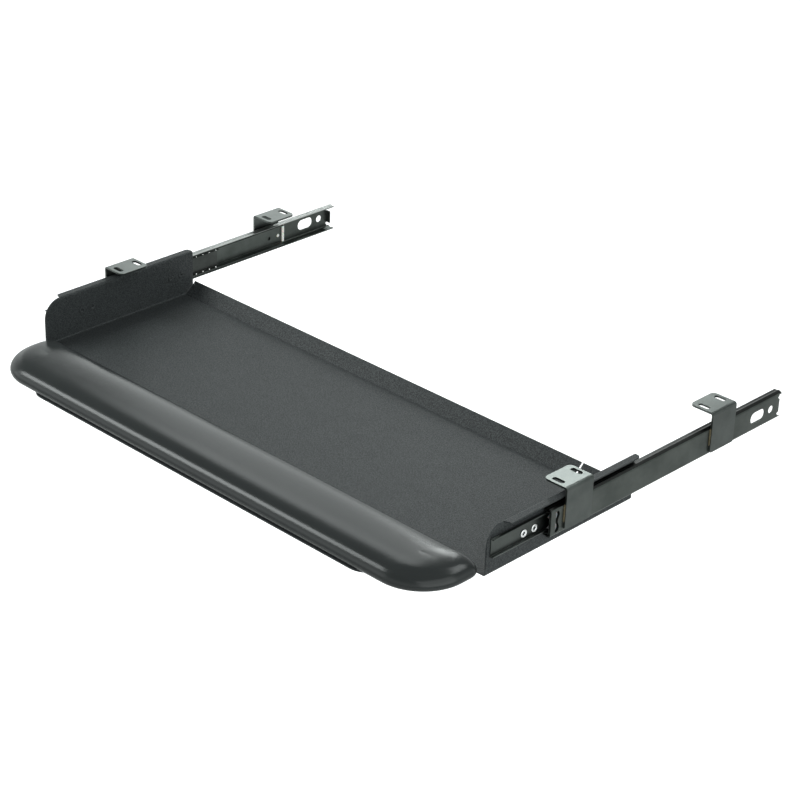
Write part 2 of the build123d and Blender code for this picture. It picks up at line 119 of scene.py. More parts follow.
class Finish:
    """A material with a Principled shader, its constants set on the shader's own sockets."""

    def __init__(self, name, **constants):
        self.material = bpy.data.materials.new(name)
        self.material.use_nodes = True
        self.tree = self.material.node_tree
        self.shader = self.tree.nodes["Principled BSDF"]
        for words, value in constants.items():
            self.shader.inputs[words.replace("_", " ")].default_value = value

    def node(self, kind, settings=None, inputs=None, output=0):
        """Makes a node, sets its settings, then gives its sockets their values or links."""
        made = self.tree.nodes.new(kind)
        for name, value in (settings or {}).items():
            if name == "stops":
                self.set_stops(made.color_ramp, value)
            else:
                setattr(made, name, value)
        for key, value in (inputs or {}).items():
            self.join(value, made.inputs[key])
        return Number(self, made.outputs[output])

    def join(self, value, socket):
        """Links a Number to a socket, or sets the socket's own value."""
        if isinstance(value, Number):
            self.tree.links.new(value.socket, socket)
        else:
            socket.default_value = value

    def set_stops(self, ramp, stops):
        """Gives a colour ramp its stops, each a place and a grey or a colour."""
        while len(ramp.elements) < len(stops):
            ramp.elements.new(1.0)
        for element, (place, tone) in zip(ramp.elements, stops):
            element.position = place
            element.color = (*tone, 1.0) if hasattr(tone, "__len__") else (tone, tone, tone, 1.0)

    def where(self):
        """The point of the surface, in the frame's own metres."""
        return self.node("ShaderNodeTexCoord", output="Object")

    def height(self):
        """The height of the surface above the brackets' top face, in metres."""
        return self.node("ShaderNodeSeparateXYZ", inputs={"Vector": self.where()}, output="Z")

    def noise(self, size, detail=2.0, roughness=0.5, stretch=(1.0, 1.0, 1.0)):
        """Cloudy noise from 0 to 1, whose lumps are about `size` metres across."""
        scaled = self.node(
            "ShaderNodeMapping", {"vector_type": "POINT"}, {"Vector": self.where(), "Scale": stretch}
        )
        inputs = {"Vector": scaled, "Scale": 1.0 / size, "Detail": detail, "Roughness": roughness}
        return self.node("ShaderNodeTexNoise", {"noise_dimensions": "3D"}, inputs, "Fac")

    def ramp(self, value, *stops):
        """A value sent through a colour ramp."""
        return self.node("ShaderNodeValToRGB", {"stops": stops}, {"Fac": value}, "Color")

    def blend(self, factor, first, second):
        """One colour fading into another where the factor goes from 0 to 1."""
        return self.node(
            "ShaderNodeMix",
            {"data_type": "RGBA"},
            {"Factor": factor, 6: first, 7: second},
            2,
        )

    def feed(self, name, value):
        """Sends a value that varies over the surface to the shader."""
        self.join(value, self.shader.inputs[name])

    def tones(self, factor, dark, light):
        """Colours the surface between two tones, where the factor goes from 0 to 1."""
        self.feed("Base Color", self.blend(factor, colour(*dark), colour(*light)))

    def relief(self, height, depth, strength=1.0):
        """Bumps the surface by a height from 0 to 1, `depth` metres deep."""
        bump = self.node(
            "ShaderNodeBump",
            inputs={"Height": height, "Distance": depth, "Strength": strength},
            output="Normal",
        )
        self.feed("Normal", bump)


def colour(red, green, blue):
    """A colour as a shader wants it, with full opacity."""
    return (red, green, blue, 1.0)


# %% [markdown]
# ## Powder coat on the tray
#
# Powder paint melts into a skin with a fine orange-peel texture, and under a lamp its grains
# catch the light as a salt-and-pepper speckle about a millimetre across.  An image would
# tile and blur, so the speckle is noise: one layer of grains moves the colour, the roughness
# and the bump together, because in real paint they are the same grains.

# %% Powder coat
tray_coat = Finish("charcoal_powder_coat", Specular_IOR_Level=0.18)
grains = tray_coat.noise(0.0011, detail=3.0, roughness=0.65)
waves = tray_coat.noise(0.02, detail=2.0)
speckle = tray_coat.ramp(grains, (0.36, 0.0), (0.66, 1.0))
tray_coat.tones(speckle, (0.014, 0.016, 0.017), (0.050, 0.055, 0.056))
tray_coat.feed("Roughness", 0.54 - speckle * 0.12 + waves * 0.06)
tray_coat.relief(grains, 0.00014, 0.6)

# %% [markdown]
# ## Satin vinyl on the palm rest
#
# The cover is a smooth stretched vinyl: black, with a soft wide sheen and a leather grain so
# fine that it only breaks the highlight a little.  Cells from a Voronoi texture make the
# grain, and slow noise makes the sheen vary as hands have polished it.

# %% Satin vinyl
vinyl = Finish("satin_black_vinyl", Specular_IOR_Level=0.24)
cells = vinyl.node(
    "ShaderNodeTexVoronoi",
    {"feature": "SMOOTH_F1"},
    {"Vector": vinyl.where(), "Scale": 1100.0, "Smoothness": 0.6},
    "Distance",
)
handled = vinyl.noise(0.09, detail=3.0)
vinyl.tones(handled, (0.019, 0.021, 0.021), (0.026, 0.029, 0.029))
vinyl.feed("Roughness", 0.16 + handled * 0.07)
vinyl.relief(cells, 0.00005, 0.7)

# %% [markdown]
# ## Dark zinc on the slides and brackets
#
# The slides are rolled from strip and plated, then passivated to a dark green-grey.  The
# skin is thin, so it looks like tarnished metal: cloudy from the bath, with faint lines along
# the rolling direction.  It is a metal whose clouds change both colour and polish.


# %% Dark zinc
def dark_zinc(name, dark, light, polish, above=None, upper=None):
    """Passivated plating: clouds between two tones, and rolling lines along the strip.

    Above the height given, the tones change to the upper pair, a painted shade or a painted highlight
    along the top.
    """
    zinc = Finish(name, Metallic=1.0)
    clouds = zinc.noise(0.035, detail=5.0, roughness=0.6)
    mottle = zinc.ramp(clouds, (0.30, 0.0), (0.72, 1.0))
    lines = zinc.noise(0.0012, detail=2.0, stretch=(1.0, 0.02, 1.0))
    plated = zinc.blend(mottle, colour(*dark), colour(*light))
    if above is not None:
        changed = zinc.blend(mottle, colour(*upper[0]), colour(*upper[1]))
        plated = zinc.blend(zinc.height() > above, plated, changed)
    zinc.feed("Base Color", plated)
    zinc.feed("Roughness", polish + clouds * 0.12 + lines * 0.06)
    zinc.relief(lines, 0.00002, 0.35)
    return zinc


# The outer members' roofs and the brackets' plates differ in tone from the metal below: the right roof's
# top is painted shade, the left roof's top and the plates carry a painted highlight.
roof_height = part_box("slide_outer_right")[1][2] - 1.2 * MM
plate_height = -0.3 * MM
cage_zinc = dark_zinc("dark_zinc_cage", (0.045, 0.049, 0.046), (0.080, 0.086, 0.082), 0.30)
slide_zinc = dark_zinc("dark_zinc_slide", (0.062, 0.070, 0.065), (0.110, 0.122, 0.114), 0.28)
# The right roof's top gets near-black tones: painted shade along the top band.
roof_painted_shade_tones = (0.018, 0.019, 0.018), (0.024, 0.025, 0.024)
# The left roof's top gets pale tones: a painted highlight along the top band.
roof_painted_highlight_tones = (0.200, 0.208, 0.202), (0.290, 0.300, 0.292)
web_tones = (0.056, 0.064, 0.059), (0.102, 0.112, 0.104)
roof_painted_shade_zinc = dark_zinc("dark_zinc_roof_painted_shade", *web_tones, 0.28, roof_height, roof_painted_shade_tones)
roof_painted_highlight_zinc = dark_zinc("dark_zinc_roof_painted_highlight", *web_tones, 0.28, roof_height, roof_painted_highlight_tones)
inner_zinc = dark_zinc("dark_zinc_inner", (0.060, 0.066, 0.062), (0.100, 0.110, 0.104), 0.28)
leg_tones = (0.067, 0.075, 0.071), (0.112, 0.123, 0.117)
# The brackets' plates, facing up, get lighter tones than the legs: a painted highlight.
plate_painted_highlight_tones = (0.092, 0.102, 0.097), (0.152, 0.165, 0.158)
bracket_zinc = dark_zinc("dark_zinc_bracket", *leg_tones, 0.24, plate_height, plate_painted_highlight_tones)

# %% [markdown]
# ## Bright metal, nylon, weld and board
#
# The rivets and balls are bright steel.  The bumpers are nylon, which lets some light in;
# the front ones are a darker grey.  The weld beads keep the straw and brown of their heat.
# The core board under the pad is dark hardboard with a mottled face.

# %% Rivets' and balls' metal
bright_zinc = Finish("bright_zinc_rivet", Metallic=1.0)
dull = bright_zinc.noise(0.002, detail=3.0)
bright_zinc.tones(dull, (0.84, 0.85, 0.86), (0.95, 0.95, 0.94))
bright_zinc.feed("Roughness", 0.22 + dull * 0.14)

ball_steel = Finish("polished_ball_steel", Metallic=1.0)
greased = ball_steel.noise(0.0016, detail=1.0)
ball_steel.tones(greased, (0.90, 0.90, 0.89), (0.96, 0.96, 0.95))
ball_steel.feed("Roughness", 0.08 + greased * 0.08)


# %% Nylon, weld, screws and board
def moulded_nylon(name, dark, light):
    """Nylon that lets some light in, milky between two tones, with a fine grain."""
    nylon = Finish(name, Roughness=0.42, Subsurface_Weight=0.25, Subsurface_Scale=0.002)
    nylon.tones(nylon.noise(0.006, detail=3.0), dark, light)
    nylon.relief(nylon.noise(0.0009), 0.00003, 0.4)
    return nylon


clean_nylon = moulded_nylon("natural_nylon", (0.70, 0.69, 0.63), (0.82, 0.81, 0.77))
dark_grey_nylon = moulded_nylon("dark_grey_nylon", (0.15, 0.15, 0.16), (0.24, 0.24, 0.25))

weld = Finish("heat_tinted_weld", Metallic=0.85)
scale_crust = weld.noise(0.0022, detail=4.0, roughness=0.7)
straw = weld.ramp(
    scale_crust,
    (0.25, (0.035, 0.030, 0.022)),
    (0.55, (0.095, 0.080, 0.048)),
    (0.80, (0.180, 0.158, 0.105)),
)
weld.feed("Base Color", straw)
weld.feed("Roughness", 0.38 + scale_crust * 0.3)
weld.relief(scale_crust, 0.00015, 0.6)

screw_steel = Finish("blackened_screw", Metallic=0.9)
oxide = screw_steel.noise(0.0015, detail=3.0)
screw_steel.tones(oxide, (0.030, 0.030, 0.032), (0.075, 0.074, 0.072))
screw_steel.feed("Roughness", 0.36 + oxide * 0.16)

hardboard = Finish("dark_hardboard", Roughness=0.7)
fibres = hardboard.noise(0.0018, detail=5.0, roughness=0.7)
hardboard.tones(fibres, (0.030, 0.020, 0.013), (0.085, 0.058, 0.036))
hardboard.feed("Roughness", 0.62 + fibres * 0.2)
hardboard.relief(fibres, 0.0001, 0.5)

# %% Put the finishes on the frame's own nodes
finish_by_node = {
    "tray_pan": tray_coat,
    "bracket_front": bracket_zinc,
    "bracket_rear": bracket_zinc,
    "slide_outer": roof_painted_shade_zinc,
    "slide_middle": slide_zinc,
    "slide_inner": inner_zinc,
    "front_bumper": dark_grey_nylon,
    "rear_bumper": clean_nylon,
    "retainer_outer": cage_zinc,
    "retainer_inner": cage_zinc,
    "palm_rest_board": hardboard,
    "palm_rest_screws": screw_steel,
    "slide_rivets": bright_zinc,
    "balls_outer": ball_steel,
    "balls_inner": ball_steel,
    "bracket_welds": weld,
    "palm_rest_pad": vinyl,
}
for name, node in nodes.items():
    kind = name.removesuffix("_left").removesuffix("_right")
    for holder in node.material_slots:
        holder.material = finish_by_node[kind].material
# The left slide's roof top gets the pale tones of a painted highlight; the right one's keeps the painted
# shade.
nodes["slide_outer_left"].material_slots[0].material = roof_painted_highlight_zinc.material
print("finished", len(nodes), "nodes")

# %% [markdown]
# ## From a grid of points to a mesh
#
# Every new piece is a grid: one parameter runs along it and one runs round it.  The points
# come from numpy as a whole array, and the faces join each point to its neighbours, so one
# helper can make them all.


# %% From a grid of points to a mesh
def grid_faces(rows, columns, wrap_rows=False, wrap_columns=False):
    """Quads joining neighbours in a grid whose points are numbered row by row."""
    row = np.arange(rows if wrap_rows else rows - 1)
    column = np.arange(columns if wrap_columns else columns - 1)
    i, j = np.meshgrid(row, column, indexing="ij")
    up = (i + 1) % rows
    along = (j + 1) % columns
    corners = (i * columns + j, i * columns + along, up * columns + along, up * columns + j)
    return np.stack(corners, axis=-1).reshape(-1, 4)


def make_piece(name, points, faces, finish, body, slot_name):
    """A smooth mesh at the origin from points and faces, riding on a body of the frame.

    The faces of each closed shell are turned to point outwards.
    """
    mesh = bpy.data.meshes.new(name)
    mesh.from_pydata(points.reshape(-1, 3).tolist(), [], [list(map(int, face)) for face in faces])
    shell = bmesh.new()
    shell.from_mesh(mesh)
    bmesh.ops.recalc_face_normals(shell, faces=shell.faces)
    shell.to_mesh(mesh)
    shell.free()
    mesh.polygons.foreach_set("use_smooth", [True] * len(mesh.polygons))
    mesh.materials.append(finish.material)
    piece = bpy.data.objects.new(name, mesh)
    bpy.context.scene.collection.objects.link(piece)
    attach(piece, body)
    return piece


# %% [markdown]
# ## The palm rest
#
# The pad is foam on a board, with vinyl stretched over it and stapled underneath.  Stretched
# vinyl pulls every section into one soft arch: the nose is tightly rounded, the top rises in
# a long slope to a crown behind the middle, and the back drops more steeply.  A box with a
# bevel would give straight-sided highlights, so the pad is rings: the outline, a rectangle
# with large front corners, shrinks towards the crown while its height follows the arch.

# %% The palm rest's outline
pad_low, pad_high = (np.array(corner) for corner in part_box("palm_rest_pad"))
pad_middle_x = (pad_low[0] + pad_high[0]) / 2
pad_half_width = (pad_high[0] - pad_low[0]) / 2
pad_front_radius = 50.0 * MM
pad_rear_radius = 11.0 * MM
crown_setback = 33.0 * MM
crown_half_width = 256.0 * MM
side_points = 70
corner_points = 24
end_points = 6
RING = 2 * side_points + 4 * corner_points + 2 * end_points
# The number of the point that faces each point of a ring, across the crown.
FACING = (RING - end_points - np.arange(RING)) % RING
SECTION_POINTS = 45


def rounded_ring(low, high, front_radius, rear_radius):
    """Points round a rectangle with rounded corners, counter-clockwise from the front left.

    Each corner is its centre plus its radius times (cosine, sine) of an angle that turns by
    a quarter, and the straight sides are evenly divided between the corners' ends.
    """
    corners = (
        (low[0] + front_radius, low[1] + front_radius, front_radius, 180.0),
        (high[0] - front_radius, low[1] + front_radius, front_radius, 270.0),
        (high[0] - rear_radius, high[1] - rear_radius, rear_radius, 0.0),
        (low[0] + rear_radius, high[1] - rear_radius, rear_radius, 90.0),
    )
    arcs = []
    for x, y, radius, start in corners:
        angle = np.radians(np.linspace(start, start + 90.0, corner_points + 1))
        arcs.append(np.column_stack((x + radius * np.cos(angle), y + radius * np.sin(angle))))
    runs = []
    for corner, count in enumerate((side_points, end_points, side_points, end_points)):
        gap = np.linspace(arcs[corner][-1], arcs[(corner + 1) % 4][0], count + 1)
        runs += [arcs[corner][:-1], gap[:-1]]
    return np.vstack(runs)


print("rings of", RING, "points")


# %% The palm rest's sections
def soft_curve(points, count):
    """A smooth line through a few points: each span is a cubic that leaves and reaches its
    ends along the direction between their neighbours (a Catmull-Rom spline)."""
    points = np.array(points)
    padded = np.vstack((2 * points[0] - points[1], points, 2 * points[-1] - points[-2]))
    place = np.linspace(0.0, len(points) - 1.0, count)
    span = np.minimum(place.astype(int), len(points) - 2)
    t = (place - span)[:, None]
    a, b, c, d = (padded[span + shift] for shift in range(4))
    square, cube = 2 * a - 5 * b + 4 * c - d, 3 * b - a - 3 * c + d
    return 0.5 * (2 * b + (c - a) * t + square * t**2 + cube * t**3)


# From the stapled edge below, round the nose, to the crown: how far in, and how high.
front_section = soft_curve(
    [
        (0.280, 0.000),
        (0.150, 0.000),
        (0.060, 0.040),
        (0.014, 0.140),
        (0.000, 0.280),
        (0.018, 0.435),
        (0.062, 0.590),
        (0.145, 0.742),
        (0.290, 0.888),
        (0.470, 0.962),
        (0.650, 0.990),
        (0.810, 0.998),
        (0.970, 1.000),
    ],
    SECTION_POINTS,
)
rear_section = soft_curve(
    [
        (0.360, 0.000),
        (0.200, 0.000),
        (0.070, 0.040),
        (0.014, 0.140),
        (0.000, 0.280),
        (0.012, 0.440),
        (0.042, 0.600),
        (0.105, 0.745),
        (0.220, 0.870),
        (0.380, 0.953),
        (0.570, 0.986),
        (0.770, 0.998),
        (0.970, 1.000),
    ],
    SECTION_POINTS,
)
end_section = soft_curve(
    [
        (0.220, 0.000),
        (0.120, 0.000),
        (0.050, 0.040),
        (0.012, 0.140),
        (0.000, 0.270),
        (0.016, 0.415),
        (0.058, 0.565),
        (0.138, 0.710),
        (0.275, 0.855),
        (0.450, 0.942),
        (0.630, 0.982),
        (0.810, 0.997),
        (0.970, 1.000),
    ],
    SECTION_POINTS,
)


def facing():
    """How much of the front, rear and end section each point of a ring gets.

    The share goes with the square of the cosine of the way that its side faces, and a corner
    turns from one section to the next.
    """
    turning = np.linspace(0.0, np.pi / 2, corner_points, endpoint=False)
    fade = np.cos(turning) ** 2
    side, end = np.ones(side_points), np.ones(end_points)
    none_side, none_end, none_corner = 0 * side, 0 * end, 0 * fade
    curved = (1 - fade, side, fade, none_end)
    plain = (none_corner, none_side, none_corner, none_end)
    front, rear = np.concatenate(curved + plain), np.concatenate(plain + curved)
    return front, rear, 1.0 - front - rear


corner_share = 0.8
least_front_radius = 16.0 * MM
most_rear_share = 0.40
most_side_share = 0.95


def pad_rings():
    """The pad's rings of points, from the stapled edge to the crown.

    A ring is a rounded rectangle whose four sides have moved in towards the crown line by
    their sections' inset shares.  The front corners tighten as they move in, the rear ones
    widen, by `corner_share` of the move, so that the hips at the ends stay soft.  Neither
    takes more than its share of the ring's depth.  Heights fade from section to section
    round the corners.
    """
    front_share, rear_share, end_share = facing()
    rings = []
    for (front_in, front_up), (rear_in, rear_up), (end_in, end_up) in zip(
        front_section, rear_section, end_section
    ):
        end_move = end_in * (pad_half_width - crown_half_width)
        front_move = front_in * (pad_high[1] - crown_setback - pad_low[1])
        rear_move = rear_in * crown_setback
        low = (pad_low[0] + end_move, pad_low[1] + front_move)
        high = (pad_high[0] - end_move, pad_high[1] - rear_move)
        depth = high[1] - low[1]
        rear_radius = min(pad_rear_radius + corner_share * rear_move, most_rear_share * depth)
        front_radius = max(pad_front_radius - corner_share * front_move, least_front_radius)
        front_radius = min(front_radius, most_side_share * depth - rear_radius)
        plan = rounded_ring(low, high, front_radius, rear_radius)
        up = front_up * front_share + rear_up * rear_share + end_up * end_share
        rings.append(np.column_stack((plan, pad_low[2] + up * (pad_high[2] - pad_low[2]))))
    return np.array(rings)


def neighbours_mean(grid):
    """The mean of each grid point's four neighbours.

    Across the crown, the neighbour of a point in the last ring is the one that faces it.
    """
    below = np.concatenate((grid[:1], grid[:-1]))
    above = np.concatenate((grid[1:], grid[-1:, FACING]))
    return (np.roll(grid, 1, axis=1) + np.roll(grid, -1, axis=1) + above + below) / 4


def soften(rings, from_up, passes):
    """Averages heights with their neighbours' on the grid, over and over, near the crown.

    The share of the average that a point takes grows from 0 at the height share `from_up`
    to 1 at the crown, so the nose keeps its shape and the hips at the ends turn softly.
    """
    up = (rings[:, :, 2] - pad_low[2]) / (pad_high[2] - pad_low[2])
    share = np.clip((up - from_up) / (1.0 - from_up), 0.0, 1.0)
    height = rings[:, :, 2].copy()
    for _ in range(passes):
        height += share * (neighbours_mean(height) - height)
    return np.dstack((rings[:, :, :2], height))


rings = soften(pad_rings(), from_up=0.80, passes=30)
print("pad rings", rings.shape)


# %% The palm rest's mesh
board_gap = 0.2 * MM


def close_pad(rings):
    """The rings, a wall up round the core board, and the board's recess, as one closed shell.

    The first and last rings are closed by joining their front sides to their rear sides.
    """
    board_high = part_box("palm_rest_board")[1]
    recess_top = rings[0].copy()
    recess_top[:, 2] = board_high[2] + board_gap
    rows = np.concatenate((recess_top[None], rings), axis=0)
    faces = grid_faces(len(rows), RING, wrap_columns=True).tolist()
    left_end = RING - end_points // 2
    for start in (0, (len(rows) - 1) * RING):
        for step in range(RING // 2):
            around = (left_end + step, left_end + step + 1, left_end - step - 1, left_end - step)
            # At the two ends two of the four are the same point, which is taken once.
            corners = dict.fromkeys(corner % RING for corner in around)
            faces.append([start + corner for corner in corners])
    return rows, faces


pad_points, pad_faces = close_pad(rings)
palm_rest = make_piece("palm_rest", pad_points, pad_faces, vinyl, "tray", "pad_cover")
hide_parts("palm_rest_pad")
print("palm rest", len(palm_rest.data.polygons), "faces")

# %% [markdown]
# ## Swelling the palm rest
#
# The foam pushes the vinyl out against its own tension, and that evens out the places where
# the front, rear and end arches meet.  The numbers above can't know that tension, so the
# cover is simulated: cloth with air pressure inside, held where it is stapled.  The pressure
# alone would move it by over a centimetre, so no point may move more than half a millimetre,
# and a subdivision then rounds the result.

# %% Swelling the palm rest
held_rows = 4
most_swell = 0.5 * MM
cloth_frames = 20
evening_passes = 120


def swell(piece, held, most):
    """Blows the piece up as cloth for some frames; no point moves further than `most`.

    A point's move is shortened to most * tanh(length / most), and each move is then averaged
    with its neighbours' on the grid, over and over, so that the cover stays even.
    """
    mesh = piece.data
    before = np.empty(len(mesh.vertices) * 3)
    mesh.vertices.foreach_get("co", before)
    before = before.reshape(-1, 3)
    stapled = piece.vertex_groups.new(name="stapled")
    stapled.add(held, 1.0, "REPLACE")
    cloth = piece.modifiers.new("swelling", "CLOTH")
    cloth.settings.quality = 5
    cloth.settings.mass = 0.3
    cloth.settings.use_pressure = True
    cloth.settings.uniform_pressure_force = 4.0
    cloth.settings.vertex_group_mass = "stapled"
    cloth.settings.effector_weights.gravity = 0.0
    cloth.collision_settings.use_collision = False
    for moment in range(1, cloth_frames + 1):
        bpy.context.scene.frame_set(moment)
    after = np.empty_like(before).ravel()
    swollen = piece.evaluated_get(bpy.context.evaluated_depsgraph_get())
    swollen.data.vertices.foreach_get("co", after)
    piece.modifiers.remove(cloth)
    move = after.reshape(-1, 3) - before
    length = np.maximum(np.linalg.norm(move, axis=1, keepdims=True), 1e-9)
    move *= most * np.tanh(length / most) / length
    field = move.reshape(-1, RING, 3)
    for _ in range(evening_passes):
        field = neighbours_mean(field)
    mesh.vertices.foreach_set("co", (before + field.reshape(-1, 3)).ravel())
    bpy.context.scene.frame_set(1)
    print("swelled by up to", round(float(length.max() / MM), 2), "mm, kept to", round(most / MM, 2))


swell(palm_rest, list(range(held_rows * RING)), most_swell)

rounding = palm_rest.modifiers.new("rounding", "SUBSURF")
rounding.levels = rounding.render_levels = 1

# %% [markdown]
# ## Rivets, balls and screws
#
# These are turned shapes: a short profile swept round an axis.  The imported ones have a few
# flat sides to stay light, so smooth ones stand in for them in the same places.  A sphere or
# cylinder primitive would miss the rolled edges that catch the light, so each gets its own
# profile, and every copy comes from the same array of points, moved.


# %% A profile swept round an axis
def turned(profile, count):
    """Points of a profile of (radius, distance) swept round the X axis.

    Each goes round as (distance, radius * cosine, radius * sine) of the turning angle.
    """
    angle = np.linspace(0.0, 2.0 * np.pi, count, endpoint=False)
    radius, along = np.array(profile).T
    x = np.repeat(along[:, None], count, axis=1)
    return np.stack((x, radius[:, None] * np.cos(angle), radius[:, None] * np.sin(angle)), axis=-1)


def repeat(points, centres, faces):
    """One shape's points and faces repeated at every centre."""
    flat = points.reshape(-1, 3)
    everywhere = np.array(centres)[:, None, :] + flat[None, :, :]
    numbers = [[corner + n * len(flat) for corner in face] for n in range(len(centres)) for face in faces]
    return everywhere, numbers


def closed_ends(rows, count):
    """Faces of a turned shape whose first and last rings are filled."""
    rings = [list(map(int, face)) for face in grid_faces(rows, count, wrap_columns=True)]
    return rings + [list(range(count)), list(range((rows - 1) * count, rows * count))]


# %% Rivets
# Each point is (radius, distance along X) in mm, from the outer face of the rivet's head.
# The rolled head is bright, and what lies behind it has the tray's coat; in the bore and on the floor set
# in it, that dark coat is painted shade.
rivet_sides = 36
rivet_radius = 4.0 * MM
rivet_pitch = 14.0 * MM
rivet_low, rivet_high = (np.array(corner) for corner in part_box("slide_rivets_right"))
rivet_length = rivet_high[0] - rivet_low[0]
head_profile = np.array(
    [
        (1.55, -0.70),
        (3.55, -0.70),
        (3.90, -0.55),
        (4.00, -0.35),
        (3.85, -0.12),
        (3.40, 0.0),
        (2.60, 0.0),
        (1.95, -0.10),
        (1.60, -0.32),
    ]
)
tail_end = -rivet_length / MM
tail_profile = np.array(
    [
        (0.05, -1.6),
        (1.25, -1.6),
        (1.28, -0.35),
        (1.54, -0.35),
        (1.54, -1.0),
        (2.30, -1.1),
        (2.30, tail_end + 0.6),
        (3.20, tail_end + 0.55),
        (3.40, tail_end + 0.32),
        (3.15, tail_end + 0.06),
        (2.40, tail_end),
        (1.60, tail_end + 0.15),
        (1.20, tail_end + 0.7),
        (0.05, tail_end + 0.75),
    ]
)
rivet_z = (rivet_low[2] + rivet_high[2]) / 2
rivet_first = rivet_low[1] + rivet_radius
rivet_last = rivet_high[1] - rivet_radius
rivet_ys = (rivet_first, rivet_first + rivet_pitch, rivet_last - rivet_pitch, rivet_last)
head_ring = grid_faces(len(head_profile), rivet_sides, wrap_rows=True, wrap_columns=True).tolist()
tail_rings = closed_ends(len(tail_profile), rivet_sides)
for side, sign in (("right", 1.0), ("left", -1.0)):
    centres = [(sign * rivet_high[0], y, rivet_z) for y in rivet_ys]
    head = repeat(turned(head_profile * MM, rivet_sides) * (sign, 1.0, 1.0), centres, head_ring)
    heads = make_piece(f"rivet_heads_{side}", *head, bright_zinc, "tray", "bright_rivets")
    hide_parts(f"slide_rivets_{side}")
    tail = repeat(turned(tail_profile * MM, rivet_sides) * (sign, 1.0, 1.0), centres, tail_rings)
    # The tails' piece also lines each bore and closes it with a floor, dark as painted shade in the
    # holes.
    make_piece(f"rivet_tails_{side}", *tail, tray_coat, "tray", "tray_coat")
print("rivets at", [round(y / MM, 1) for y in rivet_ys])

# %% Balls
ball_radius = 1.1 * MM
ball_pitch = 9.3 * MM
ball_sides = 20
# The solids' balls have flat facets, so they reach a little less high than a round one.
packed_ball_reach = 0.95 * MM
arc = np.radians(np.linspace(2.0, 178.0, 13))
ball_profile = np.column_stack((np.sin(arc), -np.cos(arc))) * ball_radius
ball = turned(ball_profile, ball_sides)
ball_faces = closed_ends(len(ball_profile), ball_sides)
for kind, in_group in (("outer", 2), ("inner", 4)):
    for side in ("right", "left"):
        low, high = (np.array(corner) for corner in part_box(f"balls_{kind}_{side}"))
        x = (low[0] + high[0]) / 2
        steps = [low[1] + ball_radius + n * ball_pitch for n in range(in_group)]
        steps += [high[1] - ball_radius - n * ball_pitch for n in range(in_group)]
        middle, reach = (low[2] + high[2]) / 2, (high[2] - low[2]) / 2 - packed_ball_reach
        centres = [(x, y, middle + level) for y in steps for level in (-reach, reach)]
        row = repeat(ball, centres, ball_faces)
        cage = f"{kind}_cage_{side}"
        balls = make_piece(f"round_balls_{kind}_{side}", *row, ball_steel, cage, "ball_steel")
        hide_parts(f"balls_{kind}_{side}")
print("balls of", len(ball_faces), "faces each")

# %% Screws
screw_low, screw_high = (np.array(corner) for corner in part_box("palm_rest_screws"))
screw_sides = 64
screw_rims = 26
head_radius = 3.8 * MM
dome_height = 1.2 * MM
rim_height = 0.7 * MM
recess_depth = 1.1 * MM
arm_half_width, arm_side_slope = 0.75 * MM, 0.25 * MM
arm_reach, arm_end_slope = 2.2 * MM, 0.30 * MM
round_head = np.linspace(0.0, 2.0 * np.pi, screw_sides, endpoint=False)
rims = np.linspace(0.02, 1.0, screw_rims)[:, None] * head_radius
flat_x, flat_y = rims * np.cos(round_head), rims * np.sin(round_head)


def arm(across, along):
    """One arm of a cross recess: 1 inside it, falling to 0 over short slopes at its edges."""
    sides = np.clip((arm_half_width - np.abs(across)) / arm_side_slope, 0.0, 1.0)
    ends = np.clip((arm_reach - np.abs(along)) / arm_end_slope, 0.0, 1.0)
    return sides * ends


# The dome follows the square root of one minus 0.85 times the radius share squared, on a
# low rim, less the recess.
dome = dome_height * np.sqrt(1.0 - 0.85 * (rims / head_radius) ** 2) + rim_height + 0.0 * flat_x
dome -= recess_depth * np.maximum(arm(flat_x, flat_y), arm(flat_y, flat_x))
cap = np.stack((flat_x, flat_y, -dome), axis=-1)
shank_profile = np.array([(3.80, 0.0), (1.85, 0.0), (1.85, 6.4), (0.9, 8.2), (0.1, 8.5)]) * MM
shank_radius, shank_up = shank_profile[:, :1], shank_profile[:, 1:]
shank_x, shank_y = shank_radius * np.cos(round_head), shank_radius * np.sin(round_head)
shank = np.stack((shank_x, shank_y, shank_up + 0 * round_head), axis=-1)
screw = np.concatenate((cap, shank))
screw_y = (screw_low[1] + screw_high[1]) / 2
screw_xs = np.linspace(screw_low[0] + head_radius, screw_high[0] - head_radius, 4)
seat = [(x, screw_y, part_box("tray_pan")[0][2]) for x in screw_xs]
row = repeat(screw, seat, closed_ends(len(screw), screw_sides))
screws = make_piece("round_screws", *row, screw_steel, "tray", "dark_screws")
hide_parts("palm_rest_screws")
print("screws at", [round(float(x / MM), 1) for x in screw_xs])

# %% [markdown]
# ## Weld beads
#
# A bead is laid as a row of overlapping puddles, each freezing in a curved ripple.  It fills
# the corner between the slide and the front edge of each bracket's leg.  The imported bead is
# a plain quarter round, so this one carries the ripples as a wave along its length whose
# crests bow towards the start.


# %% Weld beads
bead_rings = 90
bead_arc_points = 12
ripples = 14.0
ripple_bow = 0.02
ripple_share = 0.14


